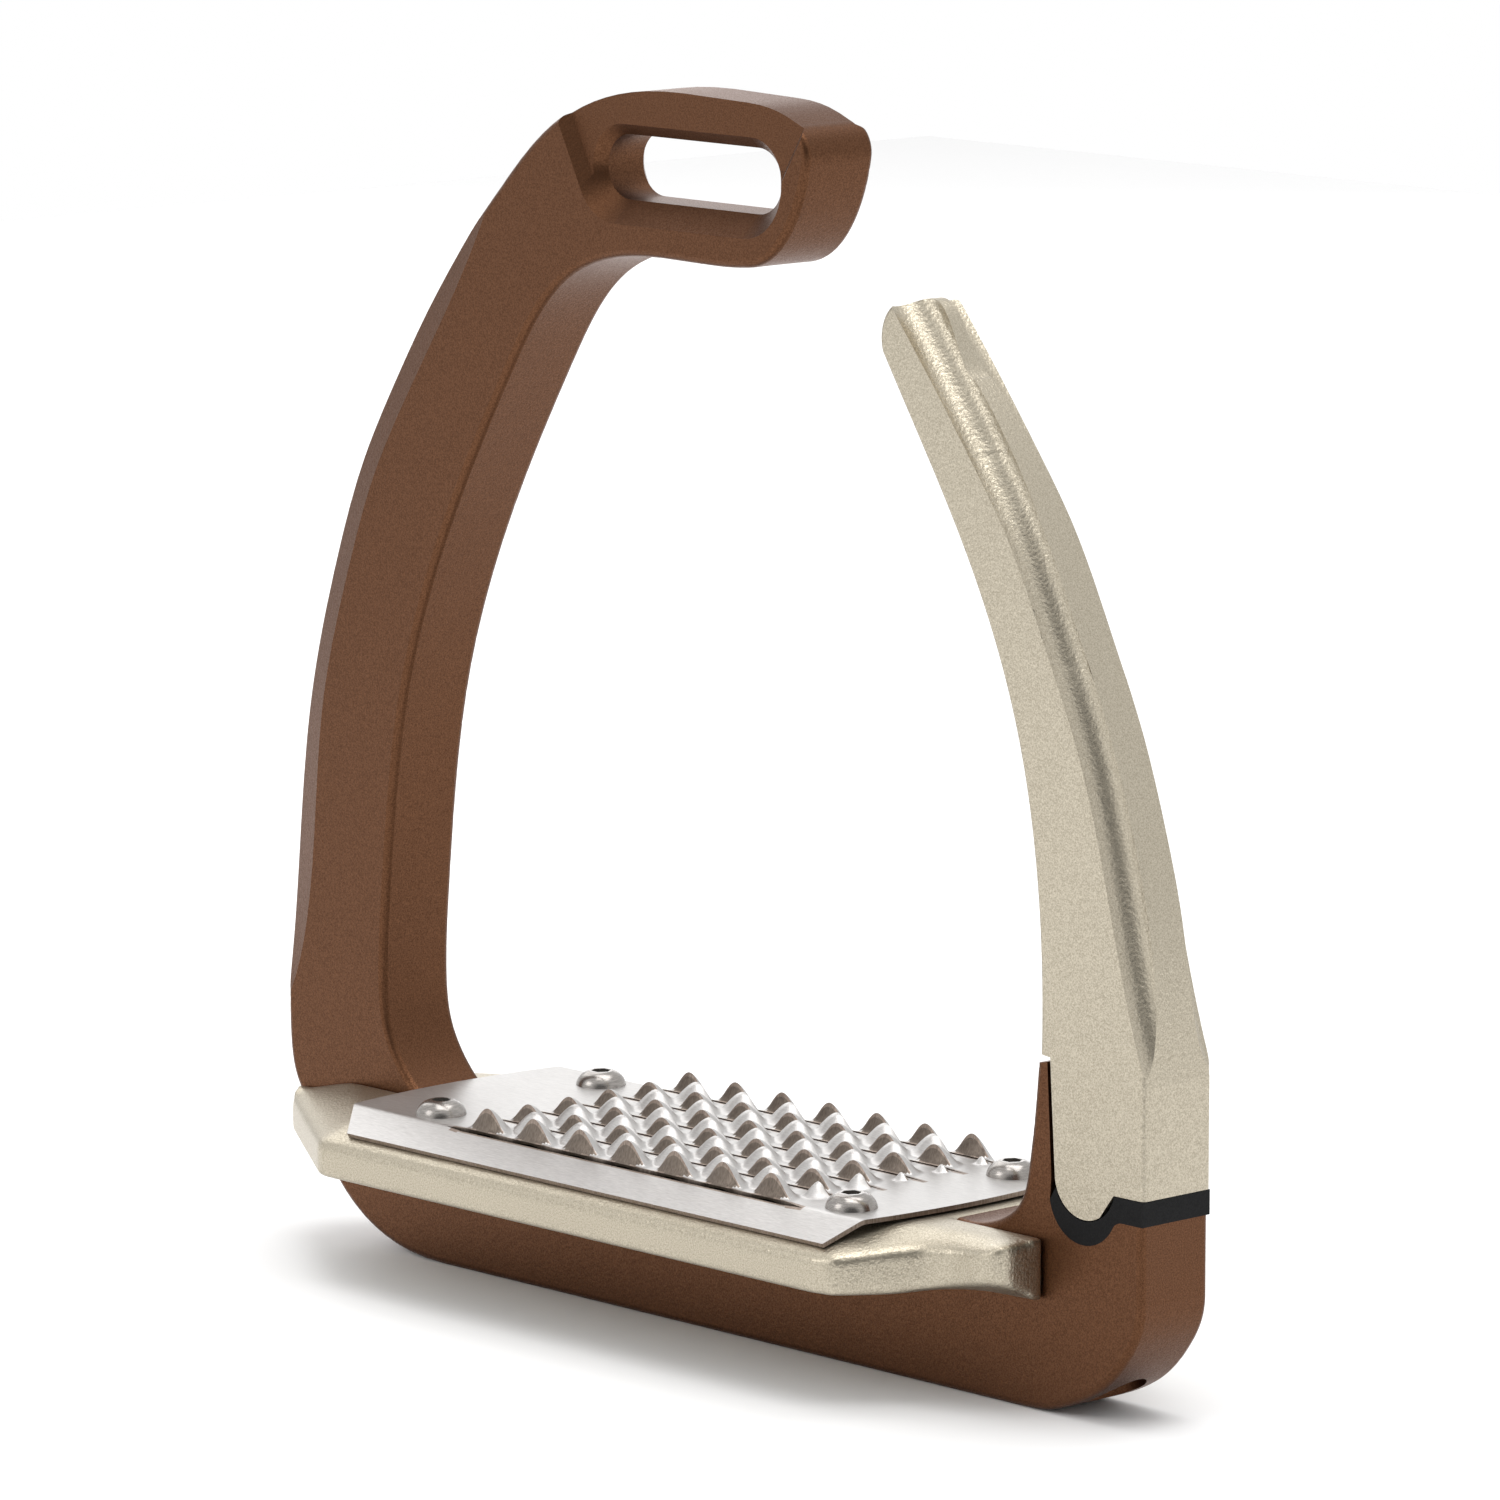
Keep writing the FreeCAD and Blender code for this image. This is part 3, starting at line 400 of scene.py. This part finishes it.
def front_teeth(row):
    """Teeth in front of a slit, with the small broken-off ones at its ends."""
    if row == 0:
        return []
    teeth = [(x, 2.55, TOOTH_HALF) for x in LIPS_X]
    teeth.append((30.4, 2.0, 2.6) if row in (1, 2) else (30.4, 1.1, 1.25))
    teeth.append((-31.6, 1.1, 1.3))
    return teeth


def teeth_height(teeth, x, away):
    """Height of a row of teeth at x and at a distance away from the slit's lip."""
    total = np.zeros_like(x)
    for centre, high, half in teeth:
        ridge = np.abs(x - centre) / half
        behind = np.maximum(away - TOOTH_FACE, 0) / (TOOTH_TAIL * half / TOOTH_HALF)
        reach = np.clip(np.hypot(ridge, behind), 0, 1)
        hollow = np.clip(away / TOOTH_FACE, 0, 1) ** TOOTH_HOLLOW
        total = np.maximum(total, high * hollow * (0.5 + 0.5 * np.cos(math.pi * reach)) ** TOOTH_POWER)
    return total


def slit_window(x):
    """1 along a slit, falling to 0 at its two points."""
    inside = np.minimum(x - SLIT_ENDS[0], SLIT_ENDS[1] - x)
    return np.clip(inside / SLIT_POINT, 0, 1)


def plate_height(y):
    past = (np.abs(y) - FOLD_Y) / FOLD_SOFT
    return PLATE_TOP - FLANGE_SLOPE * FOLD_SOFT * np.logaddexp(0, past)


def lip_line(row, x, side):
    """Where the sheet's edge runs beside a slit: side is 1 behind it and -1 in front of it."""
    return SLITS[row] + side * slit_window(x) * SLIT_GAP


def lip_lift(away):
    return LIP_LIFT * np.exp(-away / LIP_FADE)


def move_ends(x, y):
    """Bends the sheet's two straight ends into their bowed and mitred outline."""
    flat = np.clip(np.abs(y) / FOLD_Y, 0, 1)
    past = np.clip((np.abs(y) - FOLD_Y) / (FLANGE_Y - FOLD_Y), 0, 1)
    bow = PLATE_BOW * (1 - flat ** 2)
    low, high = PLATE_ENDS
    left = np.clip((SLIT_ENDS[0] - x) / (SLIT_ENDS[0] - low), 0, 1)
    right = np.clip((x - SLIT_ENDS[1]) / (high - SLIT_ENDS[1]), 0, 1)
    return x + left * (past * MITRES[0] - bow) + right * (bow - past * MITRES[1])


def strip_lines(gap, front_row, back_row):
    """Where the mesh lines lie between two slits, as shares of the gap, close at the teeth."""
    ends = np.array(FACE_LINES) / gap
    low = ends if front_row is not None else ends[:1]
    high = 1 - ends[::-1] if back_row else 1 - ends[:1]
    count = int(round((high[0] - low[-1]) * gap / MESH_STEP))
    middle = np.linspace(low[-1], high[0], max(3, count))
    return np.concatenate([low[:-1], middle, high[1:]])


def plate_strip(x, front, back, lines, front_row, back_row):
    """Grid of the sheet between two lines across it."""
    share = lines[:, None]
    y = front[None, :] * (1 - share) + back[None, :] * share
    wide = np.broadcast_to(x[None, :], y.shape)
    z = plate_height(y)
    window = slit_window(wide)
    if front_row is not None:
        away = y - front[None, :]
        z = z + window * (teeth_height(back_teeth(front_row), wide, away) + lip_lift(away))
    if back_row is not None:
        away = back[None, :] - y
        lift = lip_lift(away) if back_row else 0.0
        z = z + window * (teeth_height(front_teeth(back_row), wide, away) + lift)
    return np.stack([move_ends(wide, y), y, z], axis=2).reshape(-1, 3)


def paint_teeth(mesh):
    """Paints shade on the teeth's steep sides, with a painted highlight just below their ridges, and gives
    the edges along the slits the cut edge.
    """
    for face in mesh.polygons:
        x, y, z = (value / MM for value in face.center)
        away = min(abs(y - slit) for slit in SLITS) - SLIT_GAP
        if away < TOOTH_FACE and (face.normal.z < STEEP or z - plate_height(y) > RAISED):
            # painted shade on a steep side, and a painted highlight in its last tenth of a millimetre
            # before the ridge
            face.material_index = 2 if away < TOOTH_FACE - 0.1 else 1
        elif away < CUT_EDGE and abs(x) < SLIT_ENDS[1]:
            face.material_index = 1


def sheet_strips(x):
    """Front line, back line and the rows of teeth on both sides, from the front flange to the back one."""
    edge = np.full_like(x, FLANGE_Y)
    strips = [(-edge, lip_line(0, x, -1), None, 0)]
    for row in range(len(SLITS) - 1):
        strips.append((lip_line(row, x, 1), lip_line(row + 1, x, -1), row, row + 1))
    last = len(SLITS) - 1
    strips.append((lip_line(last, x, 1), edge, last, None))
    return strips


def make_grip_sheet():
    low, high = PLATE_ENDS
    x = np.concatenate([np.linspace(low, SLIT_ENDS[0], 16)[:-1],
                        np.linspace(SLIT_ENDS[0], SLIT_ENDS[1], 200)[:-1],
                        np.linspace(SLIT_ENDS[1], high, 10)])
    vertices = []
    faces = []
    start = 0
    for front, back, front_row, back_row in sheet_strips(x):
        lines = strip_lines(float(np.median(back - front)), front_row, back_row)
        points = plate_strip(x, front, back, lines, front_row, back_row)
        vertices.append(points)
        faces.append(grid_faces(len(lines), len(x), start))
        start += len(points)
    piece = new_piece("grip_sheet", np.concatenate(vertices), np.concatenate(faces), "stirrup",
                      [SHEET, SHEET_CUT_AND_HIGHLIGHT, SHEET_PAINTED_SHADE])
    weld(piece.data, 0.02 * MM)
    paint_teeth(piece.data)
    shell = piece.modifiers.new("thickness", "SOLIDIFY")
    shell.thickness = PLATE_THICK * MM
    shell.offset = -1
    shell.use_even_offset = False
    shell.material_offset_rim = 1
    settle(piece, 50)
    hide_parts("grip_plate")


make_grip_sheet()


# ---------------------------------------------------------------------------- tread

TREAD_LOW = 14.2
TREAD_TOP = 22.2
SHOULDER_SLOPE = 3.1 / 7.2
BASE_TOP = 16.0
GAP_HALF = 6.0
BRANCH_GAP = -54.5
FIN_GAP = 47.7
TREAD_HALF = [(-78.4, -GAP_HALF), (-78.3, -7.0), (-77.0, -8.9), (-52.9, -24.8), (-51.6, -25.0),
              (41.6, -25.0), (44.6, -24.3), (46.5, -22.2), (48.9, -18.8), (51.6, -15.6), (55.6, -14.1),
              (61.6, -13.95), (63.1, -13.1), (63.55, -11.6), (63.55, -GAP_HALF)]
CREST = [(-90.0, 19.1), (43.0, 19.1), (46.0, 19.5), (49.0, 20.1), (52.0, 20.6), (56.0, 20.8), (60.0, 21.0),
         (62.0, 21.4), (64.0, 22.0)]
FACET_X = 49.0
FACET_LONG = 14.5
FACET_Y = 6.8
FACET_WIDE = 7.2
FACET_RISE = 3.3
REMESH = 0.45
EDGE_ROUNDS = 10        # passes of smoothing
RIM_ROUNDS = 40         # more of them on the outside
RIM_FROM = 8.0


def prism(outline, low, high):
    count = len(outline)
    vertices = [(x, y, z) for z in (low, high) for x, y in outline]
    faces = [tuple(reversed(range(count))), tuple(range(count, 2 * count))]
    for index in range(count):
        after = (index + 1) % count
        faces.append((index, after, after + count, index + count))
    return vertices, faces


def to_line(x, y, start, end):
    """Distance from points to the nearest point of a segment."""
    run = np.array(end) - np.array(start)
    share = np.clip(((x - start[0]) * run[0] + (y - start[1]) * run[1]) / (run @ run), 0, 1)
    return np.hypot(x - start[0] - share * run[0], y - start[1] - share * run[1])


def tread_top(x, y):
    """Top of the tread: flat, with a shoulder sloping down to a crest that rises along the right prong."""
    inside = np.full_like(x, 99.0)
    for start, end in zip(TREAD_HALF[2:], TREAD_HALF[3:12]):
        inside = np.minimum(inside, to_line(x, y, start, end))
    crest = np.interp(x, [at for at, _ in CREST], [high for _, high in CREST])
    slope = crest + inside * SHOULDER_SLOPE
    soft = 0.12
    return -soft * np.logaddexp(-TREAD_TOP / soft, -slope / soft)


def tread_bottom(x, y):
    """Underside: flat, with a facet that rises towards the outer corner of the right prong."""
    along = np.clip((x - FACET_X) / FACET_LONG, 0, 1)
    across = np.clip((-y - FACET_Y) / FACET_WIDE, 0, 1)
    return TREAD_LOW + FACET_RISE * along * across


def tread_block():
    """Upper layer notched at both ends, over two halves that clear the frame's base."""
    mirror = [(x, -y) for x, y in reversed(TREAD_HALF)]
    notched = TREAD_HALF + [(FIN_GAP, -GAP_HALF), (FIN_GAP, GAP_HALF)] + mirror
    notched += [(BRANCH_GAP, GAP_HALF), (BRANCH_GAP, -GAP_HALF)]
    parts = [prism(notched, BASE_TOP, TREAD_TOP),
             prism(TREAD_HALF, TREAD_LOW, BASE_TOP + 1.0),
             prism(mirror, TREAD_LOW, BASE_TOP + 1.0)]
    vertices = []
    faces = []
    for points, sides in parts:
        faces += [tuple(index + len(vertices) for index in side) for side in sides]
        vertices += points
    return vertices, faces


def fit_heights(mesh):
    """Stretches a block's heights between the tread's underside and top, and returns the places."""
    place = np.zeros(len(mesh.vertices) * 3)
    mesh.vertices.foreach_get("co", place)
    place = place.reshape(-1, 3) / MM
    x = place[:, 0]
    y = -np.abs(place[:, 1])
    share = (place[:, 2] - TREAD_LOW) / (TREAD_TOP - TREAD_LOW)
    low = tread_bottom(x, y)
    place[:, 2] = low + share * (tread_top(x, y) - low)
    mesh.vertices.foreach_set("co", (place * MM).ravel())
    return place


def make_tread():
    vertices, faces = tread_block()
    piece = new_piece("tread_body", vertices, faces, "stirrup", [CHAMPAGNE])
    remesh = piece.modifiers.new("remesh", "REMESH")
    remesh.mode = "VOXEL"
    remesh.voxel_size = REMESH * MM
    settle(piece)
    place = fit_heights(piece.data)
    rim = piece.vertex_groups.new(name="rim")
    rim.add(np.flatnonzero(np.abs(place[:, 1]) > RIM_FROM).tolist(), 1.0, "REPLACE")
    for rounds, group in ((EDGE_ROUNDS, ""), (RIM_ROUNDS, "rim")):
        smooth = piece.modifiers.new("soft_edges", "SMOOTH")
        smooth.factor = 0.5
        smooth.iterations = rounds
        smooth.vertex_group = group
    settle(piece)
    piece.vertex_groups.clear()
    piece.data.materials.clear()
    piece.data.materials.append(CHAMPAGNE)
    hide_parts("tread")


make_tread()


# ---------------------------------------------------------------------------- wire and spring

WIRE_X = 70.5
WIRE_BOTTOM = 12.9
WIRE_TOP = 60.6
WIRE_BREAK = 36.0       # below this the wire crosses the hinge; above it, it slides in the arm
STRAND_LAY = 11.0
STRANDS = 6
STRAND_ROUND = 0.3
WIRE_HALF = 0.9
WIRE_STEP = 0.4         # of the mesh along the wire


def tube(centres, radius, sides):
    """Closed tube round a line that runs mainly along Z."""
    centres = np.asarray(centres, float)
    ahead = np.gradient(centres, axis=0)
    ahead /= np.linalg.norm(ahead, axis=1)[:, None]
    across = np.cross(ahead, (0.0, 1.0, 0.0))
    across /= np.linalg.norm(across, axis=1)[:, None]
    up = np.cross(ahead, across)
    turn = np.linspace(0, 2 * math.pi, sides, endpoint=False)
    ring = across[:, None, :] * np.cos(turn)[None, :, None] + up[:, None, :] * np.sin(turn)[None, :, None]
    vertices = (centres[:, None, :] + radius * ring).reshape(-1, 3)
    faces = []
    for row in range(len(centres) - 1):
        low = row * sides
        high = low + sides
        for side in range(sides):
            after = (side + 1) % sides
            faces.append((low + side, low + after, high + after, high + side))
    faces.append(tuple(reversed(range(sides))))
    last = (len(centres) - 1) * sides
    faces.append(tuple(range(last, last + sides)))
    return vertices, faces


def make_wire(name, low, high):
    """Length of stranded wire: a core with six strands laid round it."""
    z = np.arange(low, high + WIRE_STEP / 2, WIRE_STEP)
    vertices = []
    faces = []
    for strand in range(STRANDS + 1):
        reach = 0.0 if strand == STRANDS else WIRE_HALF - STRAND_ROUND
        angle = 2 * math.pi * (z / STRAND_LAY + strand / STRANDS)
        centres = np.stack([WIRE_X + reach * np.cos(angle), reach * np.sin(angle), z], axis=1)
        points, sides = tube(centres, STRAND_ROUND, 8)
        faces += [tuple(index + len(vertices) for index in side) for side in sides]
        vertices += points.tolist()
    piece = new_piece(name, vertices, faces, None, [WIRE_STEEL])
    settle(piece, 60)
    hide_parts("tension_wire")
    return piece


def copy_of(node, name, material):
    piece = bpy.data.objects.new(name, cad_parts[node].data.copy())
    bpy.context.scene.collection.objects.link(piece)
    piece.data.materials.clear()
    piece.data.materials.append(material)
    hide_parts(node)
    return piece


def blend_between(piece):
    """Bakes the piece's transform into its mesh."""
    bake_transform(piece)


blend_between(make_wire("tension_wire_lower", WIRE_BOTTOM, WIRE_BREAK))
blend_between(make_wire("tension_wire_upper", WIRE_BREAK, WIRE_TOP))
COIL = copy_of("tension_spring", "tension_coil", SPRING_STEEL)
blend_between(COIL)
